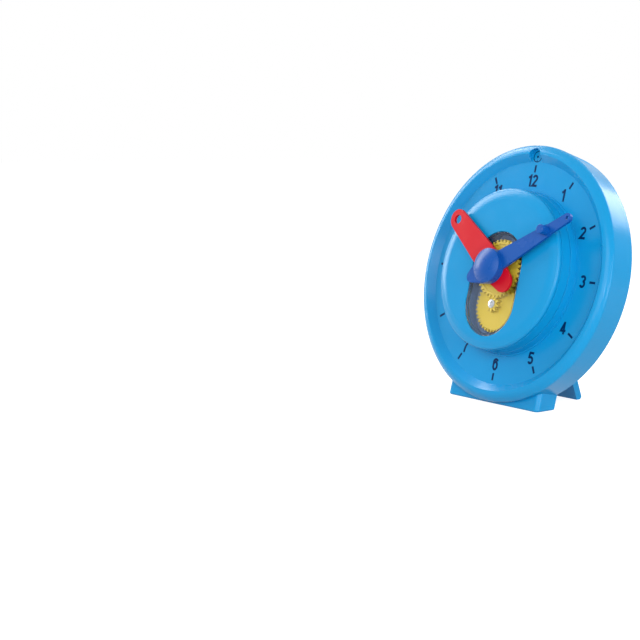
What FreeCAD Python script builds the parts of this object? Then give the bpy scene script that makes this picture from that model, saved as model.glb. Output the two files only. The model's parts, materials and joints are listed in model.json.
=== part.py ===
"""Geared teaching clock: a round case that leans back on its own feet, with two geared hands.

Everything is built in the dial's own axes: u to three o'clock, v to twelve, n out of the dial
towards the reader, with n = 0 on the dial floor. The finished pieces are then leaned back and
set on the table. Lengths are in millimetres, angles in degrees.
"""

import FreeCAD, Part
import math
import os

Vector = FreeCAD.Vector

# Stance. The round case would reach a little below the table, so it is cut flat there.
LEAN = 15.0
TABLE_CUT = 1.5

# Case
CASE_WALL = 3.0
RIM_RADIUS = 150.0
BACK_TAPER = 2.0
CASE_DEPTH = 31.8
RIM_EDGE = 1.5
EDGE_ROUND = 1.7
EDGE_BULGE = 0.6
BACK_ROUND = 1.6
CROWN_HEIGHT = 7.3
CROWN_WIDTH = 11.3
CROWN_BULGE = 1.3
RIM_SLOPE = 8.2
CROWN_EASE = 0.75

# Raised plateau around the hands
PLATEAU_HEIGHT = 29.8
PLATEAU_FLAT_RADIUS = 80.5
SHOULDER_DROP = 2.0
SHOULDER_BULGE = 0.5
PLATEAU_TOP_RADIUS = 93.8
PLATEAU_BASE_RADIUS = 96.0
PLATEAU_ROUND = 3.2
LEDGE_WIDTH = 1.5
LEDGE_HEIGHT = 1.3
GROOVE_HEIGHTS = (10.2, 22.6)
GROOVE_HALF_WIDTH = 0.8
GROOVE_DEPTH = 1.0

# Pocket for the clock sign at twelve
POCKET_FROM_CROWN = 2.5
POCKET_RADIUS = 9.5

# Window and lens
WINDOW_HALF_WIDTH = 39.4
WINDOW_TOP = 42.8
WINDOW_BOTTOM = 79.2
LENS_THICKNESS = 2.0
LENS_GAP = 0.9
LENS_SET_BACK = 0.4
LENS_FLANGE = 3.0
LENS_BOSS_RADIUS = 11.0
LENS_BOSS_HEIGHT = 1.4

# Front foot
FOOT_HALF_WIDTH = 74.4
FOOT_SET_BACK = 5.0
FOOT_CORNER = 6.0
FOOT_EDGE_ROUND = 2.0
FOOT_TOP = 100.0

# Back cover
COVER_INSET = 1.5
COVER_THICKNESS = 2.5
COVER_GAP = 0.4
LIP_HEIGHT = 4.0
LIP_WALL = 2.4
COVER_RING_FROM_SCREWS = 8.5
COVER_RING_WIDTH = 4.0
COVER_RING_DEPTH = 0.8

# Rear stand
STAND_HALF_WIDTH = 46.0
STAND_REACH = 59.2
STAND_SPLAY = 20.0
STAND_DEPTH = 8.5
STAND_WALL = 3.0
STAND_HEEL = 3.5
STAND_HOLLOW_CORNER = 0.5
STAND_TOP = 37.0
PAD_HALF_WIDTH = 40.0
PAD_HEIGHT = 30.0
PAD_THICKNESS = 3.5
PAD_CORNER = 6.0
WEB_SPACING = 44.0
WEB_RISE = 50.0

# Gear train. The idler runs directly below the centre, and both pairs share one centre distance.
CENTRE_DISTANCE = 41.0
MINUTE_TEETH = 13
IDLER_TEETH = 39
IDLER_PINION_TEETH = 9
HOUR_TEETH = 36
PRESSURE_ANGLE = 25.0
GEAR_ADDENDUM = 1.5
PINION_ADDENDUM = 1.45
TOOTH_CLEARANCE = 0.5
BACKLASH = 0.3
FLANK_STEPS = 4
GEAR_THICKNESS = 5.0
IDLER_BACK = 12.8
LAYER_GAP = 2.2
PINION_SET_BACK = 1.0
WEB_RECESS = 1.0
RECESS_RIM = 4.5
RECESS_HUB = 12.0

# Running fits
RUNNING_GAP = 0.05
AXIAL_GAP = 0.5

# Minute shaft and hour sleeve
SHAFT_RADIUS = 3.0
SHAFT_BACK_END = 8.0
SLEEVE_RADIUS = 7.0
SLEEVE_NECK_RADIUS = 5.5
SLEEVE_HOLE_GAP = 0.4
SLEEVE_STANDOUT = 0.2
SHAFT_FLAT = 0.6

# Idler axle
AXLE_RADIUS = 2.5
AXLE_CHAMFER = 0.5
IDLER_HUB_RADIUS = 5.5
NUT_RADIUS = 5.0
NUT_THICKNESS = 0.8
NUT_DISH = 0.4
AXLE_STANDOUT = 0.7

# Gear tray
TRAY_FLOOR = 9.5
TRAY_WALL = 2.0
TRAY_GAP = 0.8
TRAY_EAR = 1.0
TRAY_BOSS_RADIUS = 8.0
TRAY_BOSS_DEPTH = 12.5
AXLE_BOSS_RADIUS = 6.0
AXLE_BOSS_DEPTH = 8.0
TRAY_POST_U = 52.0
TRAY_POST_TOP_V = 22.0
TRAY_POST_BOTTOM_V = -62.0
TRAY_POST_RADIUS = 5.0

# Friction washer and clip behind the tray
WASHER_RADIUS = 6.5
WASHER_THICKNESS = 0.9
CLIP_RADIUS = 6.0
CLIP_THICKNESS = 1.0
CLIP_GROOVE = 0.8
CLIP_MOUTH = 4.0
WASHER_GAP = 0.3

# Hands
HOUR_HAND_BACK = 33.4
HOUR_HAND_THICKNESS = 3.2
HOUR_HAND_HOLE_AT = 88.5
HOUR_HAND_HOLE_RADIUS = 5.4
HOUR_HAND_TIP_RADIUS = 12.0
HOUR_HAND_HUB_HALF_WIDTH = 17.0
HOUR_HAND_TAIL_AT = 26.0
HOUR_HAND_TAIL_RADIUS = 12.5
MINUTE_HAND_BACK = 37.2
MINUTE_HAND_THICKNESS = 3.6
MINUTE_HAND_ANGLE = 58.8
MINUTE_HAND_LENGTH = 127.0
MINUTE_HAND_ROOT_HALF_WIDTH = 12.5
MINUTE_HAND_KNOB_AT = 90.0
MINUTE_HAND_KNOB_HALF_WIDTH = 7.2
MINUTE_HAND_NECK_HALF_WIDTH = 6.2
MINUTE_HAND_TIP_RADIUS = 5.4
MINUTE_HAND_HOLE_RADIUS = 2.2
MINUTE_HAND_TAIL_AT = 28.0
MINUTE_HAND_TAIL_RADIUS = 7.0
MINUTE_HAND_TAIL_HEIGHT = 6.0
HUB_RADIUS = 20.0
HUB_RIM_HEIGHT = 9.0
CAP_DOME_HEIGHT = 5.4
CAP_WALL = 2.0
KNOB_RADIUS = 5.3
KNOB_HEIGHT = 11.0
KNOB_ROUND = 1.0
KNOB_STEM_RADIUS = 2.5

# Screws, one size throughout
SCREW_RADIUS = 1.5
SCREW_CLEARANCE = 0.25
SCREW_HEAD_RADIUS = 3.1
SCREW_HEAD_HEIGHT = 1.7
SCREW_HEAD_EDGE = 1.0
SCREW_CROWN_RADIUS = 1.7
SCREW_CROWN_ROUND = 2.6
SCREW_CROWN_RISE = 0.5
SCREW_LENGTH = 11.0
SCREW_TIP = 1.2
RECESS_LENGTH = 3.2
RECESS_WIDTH = 0.8
RECESS_DEPTH = 1.0
HEAD_POCKET_GAP = 0.3
CASE_SCREW_COUNT = 6
CASE_SCREW_INSET = 8.5
CASE_POST_RADIUS = 4.5
STAND_SCREW_U = 30.0
STAND_SCREW_INSET = 8.0
COVER_BOSS_RADIUS = 5.0
COVER_BOSS_DEPTH = 9.5

# Dial directions as angles from three o'clock
TO_TWELVE = 90.0
TO_SIX = -90.0

# How close two points are when they touch
TOUCH = 0.01

# Sizes that follow from the ones above
FAR = 4 * RIM_RADIUS
DIAL_HEIGHT = RIM_RADIUS - TABLE_CUT
BACK_RADIUS = RIM_RADIUS - BACK_TAPER
CROWN_RADIUS = RIM_RADIUS - CROWN_WIDTH
FLOOR_RADIUS = CROWN_RADIUS - RIM_SLOPE
POCKET_CENTRE = CROWN_RADIUS - POCKET_FROM_CROWN
CASE_SCREW_CIRCLE = FLOOR_RADIUS - CASE_SCREW_INSET
COVER_RING_RADIUS = CASE_SCREW_CIRCLE - COVER_RING_FROM_SCREWS
COVER_RADIUS = BACK_RADIUS - CASE_WALL - COVER_GAP
SHOULDER_RADIUS = PLATEAU_TOP_RADIUS - PLATEAU_ROUND
SHOULDER_HEIGHT = PLATEAU_HEIGHT - SHOULDER_DROP
PLATEAU_INSIDE = PLATEAU_HEIGHT - CASE_WALL
COVER_FACE = -CASE_DEPTH + COVER_INSET
COVER_INSIDE = COVER_FACE + COVER_THICKNESS
IDLER_FRONT = IDLER_BACK + GEAR_THICKNESS
HOUR_BACK = IDLER_FRONT + LAYER_GAP
HOUR_FRONT = HOUR_BACK + GEAR_THICKNESS
PINION_FRONT = HOUR_FRONT - PINION_SET_BACK
HOUR_HAND_ANGLE = 300 + MINUTE_HAND_ANGLE / 12
AXLE_END = PINION_FRONT + AXIAL_GAP + NUT_DISH + NUT_THICKNESS + AXLE_STANDOUT
SHAFT_HOLE = SHAFT_RADIUS + RUNNING_GAP
LENS_TOP = PLATEAU_HEIGHT - LENS_SET_BACK
FLANGE_BACK = PLATEAU_INSIDE - LENS_THICKNESS
TRAY_BACK = TRAY_FLOOR - TRAY_WALL
TRAY_INSIDE_GAP = TRAY_GAP + LENS_GAP
HUB_TOP = MINUTE_HAND_BACK + HUB_RIM_HEIGHT
HAND_FRONT = MINUTE_HAND_BACK + MINUTE_HAND_THICKNESS
BOSS_BACK = TRAY_FLOOR - TRAY_BOSS_DEPTH
SHAFT_TOP = HAND_FRONT - SHAFT_FLAT
SLEEVE_TOP = HOUR_HAND_BACK + HOUR_HAND_THICKNESS + SLEEVE_STANDOUT


def disc(radius, low, high, u=0.0, v=0.0):
    """Round bar along n."""
    return Part.makeCylinder(radius, high - low, Vector(u, v, low))


def tube(outer, inner, low, high, u=0.0, v=0.0):
    """Round bar along n with a hole through it."""
    return disc(outer, low, high, u, v).cut(disc(inner, low, high, u, v))


def drawn(start, *steps):
    """Closed wire through points. A step is a point for a line, or a (middle, end) pair for an arc."""
    edges = []
    here = start
    for step in steps:
        if isinstance(step, tuple):
            middle, end = step
            edges.append(Part.Arc(here, middle, end).toShape())
        else:
            end = step
            edges.append(Part.makeLine(here, end))
        here = end
    if here.distanceToPoint(start) > TOUCH:
        edges.append(Part.makeLine(here, start))
    return Part.Wire(edges)


def slab(wire, low, high):
    """Prism along n between two heights, from a wire drawn at n = 0."""
    prism = Part.Face(wire).extrude(Vector(0, 0, high - low))
    prism.translate(Vector(0, 0, low))
    return prism


def spun(start, *steps):
    """Solid of revolution about the dial's axis, from a half section with u as radius."""
    return Part.Face(drawn(start, *steps)).revolve(Vector(0, 0, 0), Vector(0, 0, 1), 360)


def at(radius, height):
    """Point of a half section."""
    return Vector(radius, 0, height)


def slip(rounding):
    """How far the middle of a rounded right corner stays inside the sharp corner, along each side."""
    return rounding * (1 - math.sqrt(0.5))


def corner(radius, height, rounding):
    """Arc step that rounds an outer corner at (radius, height), from the side wall to the end face."""
    return at(radius - slip(rounding), height - slip(rounding)), at(radius - rounding, height)


def bulged(start, end, bulge):
    """Arc step from start to end that stands off its chord by bulge, to the left of travel."""
    along = end.sub(start)
    left = Vector(-along.z, 0, along.x)
    left.normalize()
    return start.add(end).multiply(0.5).add(left.multiply(bulge)), end


def stadium(half_width, top, bottom, low, high):
    """Upright slot shape, round at both ends, from v = -bottom to v = top."""
    upper = top - half_width
    lower = half_width - bottom
    wire = drawn(
        Vector(half_width, lower, 0),
        Vector(half_width, upper, 0),
        (Vector(0, top, 0), Vector(-half_width, upper, 0)),
        Vector(-half_width, lower, 0),
        (Vector(0, -bottom, 0), Vector(half_width, lower, 0)),
    )
    return slab(wire, low, high)


def above_table(clearance):
    """Everything at least the clearance above the table, in dial axes."""
    room = Part.makeBox(2 * FAR, 2 * FAR, FAR, Vector(-FAR, -FAR, clearance - DIAL_HEIGHT))
    return room.rotate(Vector(0, 0, 0), Vector(1, 0, 0), LEAN - 90)


def turned(shape, clock_angle):
    """Shape drawn towards twelve, turned clockwise to its place on the dial."""
    return shape.rotate(Vector(0, 0, 0), Vector(0, 0, 1), -clock_angle)


def on_circle(radius, clock_angle):
    """Point on the dial at a clockwise angle from twelve."""
    angle = math.radians(clock_angle)
    return radius * math.sin(angle), radius * math.cos(angle)


def plateau_wall(height):
    """Radius of the plateau's drafted side wall at a height."""
    share = height / (SHOULDER_HEIGHT - PLATEAU_ROUND)
    return PLATEAU_BASE_RADIUS + share * (PLATEAU_TOP_RADIUS - PLATEAU_BASE_RADIUS)


def groove(height):
    """Section points of one groove around the plateau."""
    bottom = plateau_wall(height) - GROOVE_DEPTH
    edge = GROOVE_HALF_WIDTH
    return [
        at(plateau_wall(height - edge), height - edge),
        at(bottom, height - edge / 2),
        at(bottom, height + edge / 2),
        at(plateau_wall(height + edge), height + edge),
    ]


def case_outside():
    """Outside of the round case, with no foot."""
    back_edge = at(BACK_RADIUS, BACK_ROUND - CASE_DEPTH)
    back_middle = at(BACK_RADIUS - slip(BACK_ROUND), slip(BACK_ROUND) - CASE_DEPTH)
    side = at(RIM_RADIUS, RIM_EDGE - EDGE_ROUND)
    rim = at(RIM_RADIUS - EDGE_ROUND, RIM_EDGE + EDGE_ROUND)
    crown = at(CROWN_RADIUS, CROWN_HEIGHT)
    shoulder = at(SHOULDER_RADIUS, SHOULDER_HEIGHT)
    flat = at(PLATEAU_FLAT_RADIUS, PLATEAU_HEIGHT)
    grooves = [point for height in GROOVE_HEIGHTS for point in groove(height)]
    return spun(
        at(0, -CASE_DEPTH),
        at(BACK_RADIUS - BACK_ROUND, -CASE_DEPTH),
        (back_middle, back_edge),
        side,
        bulged(side, rim, -EDGE_BULGE),
        bulged(rim, crown, -CROWN_BULGE),
        at(FLOOR_RADIUS, 0),
        at(PLATEAU_BASE_RADIUS + LEDGE_WIDTH, 0),
        at(PLATEAU_BASE_RADIUS + LEDGE_WIDTH, LEDGE_HEIGHT),
        at(plateau_wall(LEDGE_HEIGHT), LEDGE_HEIGHT),
        *grooves,
        at(plateau_wall(SHOULDER_HEIGHT - PLATEAU_ROUND), SHOULDER_HEIGHT - PLATEAU_ROUND),
        corner(PLATEAU_TOP_RADIUS, SHOULDER_HEIGHT, PLATEAU_ROUND),
        bulged(shoulder, flat, -SHOULDER_BULGE),
        at(0, PLATEAU_HEIGHT),
    )


def case_inside():
    """Hollow of the round case, open at the back."""
    return spun(
        at(0, -CASE_DEPTH - CASE_WALL),
        at(BACK_RADIUS - CASE_WALL, -CASE_DEPTH - CASE_WALL),
        at(BACK_RADIUS - CASE_WALL, BACK_ROUND - CASE_DEPTH),
        at(RIM_RADIUS - CASE_WALL, RIM_EDGE - CASE_WALL),
        at(CROWN_RADIUS + CROWN_EASE, CROWN_HEIGHT - CASE_WALL),
        at(FLOOR_RADIUS + CASE_WALL / 2, -CASE_WALL),
        at(PLATEAU_BASE_RADIUS - CASE_WALL, -CASE_WALL),
        at(PLATEAU_TOP_RADIUS - CASE_WALL, SHOULDER_HEIGHT - CASE_WALL - PLATEAU_ROUND),
        at(SHOULDER_RADIUS - CASE_WALL, SHOULDER_HEIGHT - CASE_WALL),
        at(WINDOW_BOTTOM + LENS_FLANGE + LENS_GAP, PLATEAU_INSIDE),
        at(0, PLATEAU_INSIDE),
    )


def foot_block(inset):
    """Front foot as a block behind the rim, inset by a wall for its inside."""
    half = FOOT_HALF_WIDTH - inset
    front = -FOOT_SET_BACK - inset
    back = -CASE_DEPTH - inset
    rounding = FOOT_CORNER - inset
    ease = slip(rounding)
    plan = drawn(
        Vector(-half, 0, back),
        Vector(half, 0, back),
        Vector(half, 0, front - rounding),
        (Vector(half - ease, 0, front - ease), Vector(half - rounding, 0, front)),
        Vector(rounding - half, 0, front),
        (Vector(ease - half, 0, front - ease), Vector(-half, 0, front - rounding)),
    )
    block = Part.Face(plan).extrude(Vector(0, -FAR, 0))
    block.translate(Vector(0, -FOOT_TOP, 0))
    block = block.common(above_table(inset))
    if inset:
        return block
    lowest = block.BoundBox.YMin
    front_edges = [
        edge for edge in block.Edges
        if edge.BoundBox.ZMin > front - rounding - TOUCH and edge.BoundBox.YMax < lowest + rounding
    ]
    return block.makeFillet(FOOT_EDGE_ROUND, front_edges)


def case_screw_places():
    """Places of the screws around the back cover."""
    step = 360 / CASE_SCREW_COUNT
    return [on_circle(CASE_SCREW_CIRCLE, step * (count + 0.5)) for count in range(CASE_SCREW_COUNT)]


def tray_screw_places():
    """Places of the screws that hold the gear tray."""
    return [(side * TRAY_POST_U, v) for side in (-1, 1) for v in (TRAY_POST_TOP_V, TRAY_POST_BOTTOM_V)]


def stand_joint():
    """Height v on the cover's face where the leg's front plane meets it."""
    lean = math.radians(LEAN)
    splay = math.tan(math.radians(STAND_SPLAY))
    level = STAND_REACH - splay * DIAL_HEIGHT + COVER_FACE / math.cos(lean)
    level /= math.tan(lean) + splay
    return (level - COVER_FACE * math.sin(lean)) / math.cos(lean)


def stand_screw_places():
    """Places of the screws through the stand's pad."""
    low = stand_joint()
    rows = (low + STAND_SCREW_INSET, low + PAD_HEIGHT - STAND_SCREW_INSET)
    return [(side * STAND_SCREW_U, v) for side in (-1, 1) for v in rows]


def front_case():
    """Dial, rim, plateau and front foot as one moulded shell with its screw posts."""
    outside = case_outside().fuse(foot_block(0)).common(above_table(0))
    inside = case_inside().fuse(foot_block(CASE_WALL)).common(above_table(CASE_WALL))
    shell = outside.cut(inside)
    pocket_floor = disc(POCKET_RADIUS + CASE_WALL, -CASE_WALL, CROWN_HEIGHT / 2, 0, POCKET_CENTRE)
    posts = [pocket_floor.common(outside)]
    for u, v in case_screw_places():
        posts.append(disc(CASE_POST_RADIUS, COVER_INSIDE, -CASE_WALL / 2, u, v))
    for u, v in tray_screw_places():
        posts.append(disc(TRAY_POST_RADIUS, TRAY_FLOOR, PLATEAU_HEIGHT - CASE_WALL / 2, u, v))
    holes = [
        disc(POCKET_RADIUS, 0, 2 * CROWN_HEIGHT, 0, POCKET_CENTRE),
        stadium(WINDOW_HALF_WIDTH, WINDOW_TOP, WINDOW_BOTTOM, FLANGE_BACK, PLATEAU_HEIGHT + CASE_WALL),
    ]
    for u, v in case_screw_places():
        holes.append(disc(SCREW_RADIUS, COVER_INSIDE, COVER_INSIDE + SCREW_LENGTH, u, v))
    for u, v in tray_screw_places():
        holes.append(disc(SCREW_RADIUS, TRAY_FLOOR, TRAY_FLOOR + SCREW_LENGTH, u, v))
    return shell.fuse(posts).cut(holes).removeSplitter()


def back_case():
    """Cover that closes the back, with a locating lip and bosses for the stand's screws."""
    gap = CASE_WALL + COVER_GAP
    lip_end = COVER_INSIDE + LIP_HEIGHT
    plate = disc(COVER_RADIUS, COVER_FACE, COVER_INSIDE).common(above_table(gap))
    lip = disc(COVER_RADIUS, COVER_INSIDE, lip_end).common(above_table(gap))
    lip_room = disc(COVER_RADIUS - LIP_WALL, COVER_INSIDE, lip_end)
    lip = lip.cut(lip_room.common(above_table(gap + LIP_WALL)))
    posts = [disc(COVER_BOSS_RADIUS, COVER_INSIDE, COVER_INSIDE + COVER_BOSS_DEPTH, u, v)
             for u, v in stand_screw_places()]
    ring_inner = COVER_RING_RADIUS - COVER_RING_WIDTH
    ring = tube(COVER_RING_RADIUS, ring_inner, COVER_FACE, COVER_FACE + COVER_RING_DEPTH)
    holes = [ring]
    pocket = SCREW_HEAD_RADIUS + HEAD_POCKET_GAP
    for u, v in case_screw_places():
        holes.append(disc(SCREW_RADIUS + SCREW_CLEARANCE, COVER_FACE, COVER_INSIDE, u, v))
        holes.append(disc(pocket, COVER_FACE, COVER_FACE + SCREW_HEAD_HEIGHT, u, v))
    for u, v in stand_screw_places():
        holes.append(disc(SCREW_RADIUS, COVER_FACE, COVER_FACE + SCREW_LENGTH, u, v))
    return plate.fuse([lip] + posts).cut(holes).removeSplitter()


def rear_stand():
    """Leg splayed back from the cover, hollow at the back, with webs and a screwed pad."""
    splay = math.radians(STAND_SPLAY)
    slope = math.tan(splay)
    table = -DIAL_HEIGHT
    width = STAND_DEPTH / math.cos(splay)

    def leg(inset, back_step, heel):
        """The leg's block, or its hollow when inset by the wall and stepped past the leg's back."""
        side = STAND_HALF_WIDTH - inset
        floor = table + inset
        front = STAND_REACH + inset / math.cos(splay) - slope * inset
        back = STAND_REACH + width - slope * inset + back_step
        rise = STAND_TOP - floor
        half_corner = math.radians(90 - STAND_SPLAY) / 2
        ease = heel / math.tan(half_corner)
        inward = heel / math.sin(half_corner) - heel
        section = drawn(
            Vector(0, front, floor),
            Vector(0, back - ease, floor),
            (
                Vector(0, back - inward * math.cos(half_corner), floor + inward * math.sin(half_corner)),
                Vector(0, back - ease * math.sin(splay), floor + ease * math.cos(splay)),
            ),
            Vector(0, back - slope * rise, STAND_TOP),
            Vector(0, front - slope * rise, STAND_TOP),
        )
        block = Part.Face(section).extrude(Vector(2 * side, 0, 0))
        block.translate(Vector(-side, 0, 0))
        return block

    body = leg(0, 0, STAND_HEEL).cut(leg(STAND_WALL, STAND_DEPTH, STAND_HOLLOW_CORNER))
    reach = STAND_REACH + width
    for side in (-1, 1):
        low_corner = Vector(side * WEB_SPACING / 2 - STAND_WALL / 2, 0, table + WEB_RISE)
        rib = Part.makeBox(STAND_WALL, reach, DIAL_HEIGHT, low_corner)
        body = body.fuse(rib.common(in_front_of_leg(slope)))
    body.rotate(Vector(0, 0, 0), Vector(1, 0, 0), LEAN - 90)
    behind = Part.makeBox(2 * FAR, 2 * FAR, FAR, Vector(-FAR, -FAR, COVER_FACE - FAR))
    body = body.common(behind)
    low = stand_joint() - PAD_THICKNESS
    high = stand_joint() + PAD_HEIGHT
    side = PAD_HALF_WIDTH
    bend = slip(PAD_CORNER)
    outline = drawn(
        Vector(-side, low, 0),
        Vector(side, low, 0),
        Vector(side, high - PAD_CORNER, 0),
        (Vector(side - bend, high - bend, 0), Vector(side - PAD_CORNER, high, 0)),
        Vector(PAD_CORNER - side, high, 0),
        (Vector(bend - side, high - bend, 0), Vector(-side, high - PAD_CORNER, 0)),
    )
    pad = slab(outline, COVER_FACE - PAD_THICKNESS, COVER_FACE)
    holes = []
    for u, v in stand_screw_places():
        holes.append(disc(SCREW_RADIUS + SCREW_CLEARANCE, COVER_FACE - FAR, COVER_FACE, u, v))
        head = COVER_FACE - PAD_THICKNESS + SCREW_HEAD_HEIGHT
        holes.append(disc(SCREW_HEAD_RADIUS + HEAD_POCKET_GAP, COVER_FACE - FAR, head, u, v))
    return body.fuse(pad).cut(holes).removeSplitter()


def in_front_of_leg(slope):
    """Room between the case and the leg's front plane, in table axes about the dial's centre."""
    middle = STAND_REACH + STAND_WALL / 2
    section = drawn(
        Vector(-FAR, 0, -DIAL_HEIGHT),
        Vector(-FAR, middle, -DIAL_HEIGHT),
        Vector(-FAR, middle - slope * (STAND_TOP + DIAL_HEIGHT), STAND_TOP),
        Vector(-FAR, 0, STAND_TOP),
    )
    return Part.Face(section).extrude(Vector(2 * FAR, 0, 0))


def window_lens():
    """Clear hat-shaped cover with a flange under the plateau and a bossed hole for the sleeve."""
    edge = WINDOW_HALF_WIDTH - LENS_GAP
    top = WINDOW_TOP - LENS_GAP
    bottom = WINDOW_BOTTOM - LENS_GAP
    wall = LENS_THICKNESS
    brim = LENS_FLANGE
    hat = stadium(edge, top, bottom, FLANGE_BACK, LENS_TOP)
    room = stadium(edge - wall, top - wall, bottom - wall, FLANGE_BACK, LENS_TOP - wall)
    flange = stadium(edge + brim, top + brim, bottom + brim, FLANGE_BACK, PLATEAU_INSIDE)
    boss = disc(LENS_BOSS_RADIUS, LENS_TOP, LENS_TOP + LENS_BOSS_HEIGHT)
    hole = disc(SLEEVE_RADIUS + SLEEVE_HOLE_GAP, FLANGE_BACK, LENS_TOP + LENS_BOSS_HEIGHT)
    return hat.fuse([flange, boss]).cut([room, hole]).removeSplitter()


def gear_tray():
    """Well around the gears: floor with shaft and axle bosses, a stadium wall and screwed ears."""
    half = WINDOW_HALF_WIDTH + TRAY_INSIDE_GAP
    top = WINDOW_TOP + TRAY_INSIDE_GAP
    bottom = WINDOW_BOTTOM + TRAY_INSIDE_GAP
    outside = stadium(half + TRAY_WALL, top + TRAY_WALL, bottom + TRAY_WALL, TRAY_BACK, FLANGE_BACK)
    room = stadium(half, top, bottom, TRAY_FLOOR, FLANGE_BACK)
    plate = slab(
        drawn(
            Vector(-TRAY_POST_U, TRAY_POST_BOTTOM_V, 0),
            Vector(TRAY_POST_U, TRAY_POST_BOTTOM_V, 0),
            Vector(TRAY_POST_U, TRAY_POST_TOP_V, 0),
            Vector(-TRAY_POST_U, TRAY_POST_TOP_V, 0),
        ),
        TRAY_BACK,
        TRAY_FLOOR,
    )
    ear = TRAY_POST_RADIUS + TRAY_EAR
    ears = [disc(ear, TRAY_BACK, TRAY_FLOOR, u, v) for u, v in tray_screw_places()]
    bosses = [
        disc(TRAY_BOSS_RADIUS, BOSS_BACK, TRAY_FLOOR),
        disc(AXLE_BOSS_RADIUS, TRAY_FLOOR - AXLE_BOSS_DEPTH, TRAY_FLOOR, 0, -CENTRE_DISTANCE),
    ]
    holes = [
        disc(SHAFT_HOLE, BOSS_BACK, TRAY_FLOOR),
        disc(AXLE_RADIUS, TRAY_FLOOR - AXLE_BOSS_DEPTH, TRAY_FLOOR, 0, -CENTRE_DISTANCE),
    ]
    for u, v in tray_screw_places():
        holes.append(disc(SCREW_RADIUS + SCREW_CLEARANCE, TRAY_BACK, TRAY_FLOOR, u, v))
    return outside.cut(room).fuse([plate] + ears + bosses).cut(holes).removeSplitter()


def involute(angle):
    """Involute of an angle in radians."""
    return math.tan(angle) - angle


def toothed(teeth, mate_teeth, addendum, mate_addendum, low, high, first_tooth):
    """Toothed disc along n about the dial's axis, with one tooth centred at first_tooth degrees."""
    pitch = CENTRE_DISTANCE * teeth / (teeth + mate_teeth)
    pressure = math.radians(PRESSURE_ANGLE)
    base = pitch * math.cos(pressure)
    tip = pitch + addendum
    root = pitch - mate_addendum - TOOTH_CLEARANCE
    half_pitch_tooth = math.pi / (2 * teeth) - BACKLASH / (4 * pitch)

    def half_angle(radius):
        """Half the tooth's angle at a radius."""
        if radius <= base:
            return half_pitch_tooth + involute(pressure)
        return half_pitch_tooth + involute(pressure) - involute(math.acos(base / radius))

    def point(radius, angle):
        """Point at a polar place."""
        return Vector(radius * math.cos(angle), radius * math.sin(angle), 0)

    start = max(base, root)
    radii = [start + (tip - start) * step / FLANK_STEPS for step in range(FLANK_STEPS + 1)]
    if root < base:
        radii.insert(0, root)
    steps = []
    spacing = 2 * math.pi / teeth
    for count in range(teeth):
        middle = math.radians(first_tooth) + count * spacing
        steps += [point(radius, middle - half_angle(radius)) for radius in radii[1:]]
        steps.append((point(tip, middle), point(tip, middle + half_angle(tip))))
        steps += [point(radius, middle + half_angle(radius)) for radius in reversed(radii[:-1])]
        gap = middle + spacing / 2
        steps.append((point(root, gap), point(root, middle + spacing - half_angle(root))))
    first = point(root, math.radians(first_tooth) - half_angle(root))
    return slab(drawn(first, *steps), low, high)


def hour_gear():
    """Large gear on the centre with the sleeve that carries the hour hand."""
    wheel = toothed(
        HOUR_TEETH, IDLER_PINION_TEETH, GEAR_ADDENDUM, PINION_ADDENDUM, HOUR_BACK, HOUR_FRONT, TO_SIX,
    )
    rim = CENTRE_DISTANCE * HOUR_TEETH / (HOUR_TEETH + IDLER_PINION_TEETH) - RECESS_RIM
    recess = tube(rim, RECESS_HUB, HOUR_FRONT - WEB_RECESS, HOUR_FRONT)
    sleeve = disc(SLEEVE_RADIUS, HOUR_BACK - AXIAL_GAP, HOUR_HAND_BACK)
    neck = disc(SLEEVE_NECK_RADIUS, HOUR_HAND_BACK, SLEEVE_TOP)
    bore = disc(SHAFT_HOLE, HOUR_BACK - AXIAL_GAP, SLEEVE_TOP)
    return wheel.cut(recess).fuse([sleeve, neck]).cut(bore).removeSplitter()


def idler_gear():
    """Large gear below the centre, driven by the minute pinion."""
    first = TO_TWELVE + 180 / IDLER_TEETH
    wheel = toothed(
        IDLER_TEETH, MINUTE_TEETH, GEAR_ADDENDUM, PINION_ADDENDUM, IDLER_BACK, IDLER_FRONT, first,
    )
    rim = CENTRE_DISTANCE * IDLER_TEETH / (IDLER_TEETH + MINUTE_TEETH) - RECESS_RIM
    recess = tube(rim, RECESS_HUB, IDLER_BACK, IDLER_BACK + WEB_RECESS)
    bore = disc(IDLER_HUB_RADIUS, IDLER_BACK, IDLER_FRONT)
    return below_centre(wheel.cut([recess, bore]))


def idler_pinion():
    """Small gear in front of the idler gear, with the hub that the idler gear is pressed on."""
    first = TO_TWELVE + 180 / IDLER_PINION_TEETH
    pinion = toothed(
        IDLER_PINION_TEETH, HOUR_TEETH, PINION_ADDENDUM, GEAR_ADDENDUM, IDLER_FRONT, PINION_FRONT, first,
    )
    hub = disc(IDLER_HUB_RADIUS, TRAY_FLOOR + AXIAL_GAP, IDLER_FRONT)
    bore = disc(AXLE_RADIUS + RUNNING_GAP, TRAY_FLOOR + AXIAL_GAP, PINION_FRONT)
    return below_centre(pinion.fuse(hub).cut(bore).removeSplitter())


def below_centre(shape):
    """Shape moved from the dial's axis to the idler's."""
    return shape.translate(Vector(0, -CENTRE_DISTANCE, 0))


def idler_axle():
    """Steel pin pressed in the tray, on which the idler turns."""
    pin = spun(
        at(0, TRAY_FLOOR - AXLE_BOSS_DEPTH),
        at(AXLE_RADIUS, TRAY_FLOOR - AXLE_BOSS_DEPTH),
        at(AXLE_RADIUS, AXLE_END - AXLE_CHAMFER),
        at(AXLE_RADIUS - AXLE_CHAMFER, AXLE_END),
        at(0, AXLE_END),
    )
    return below_centre(pin)


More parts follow.
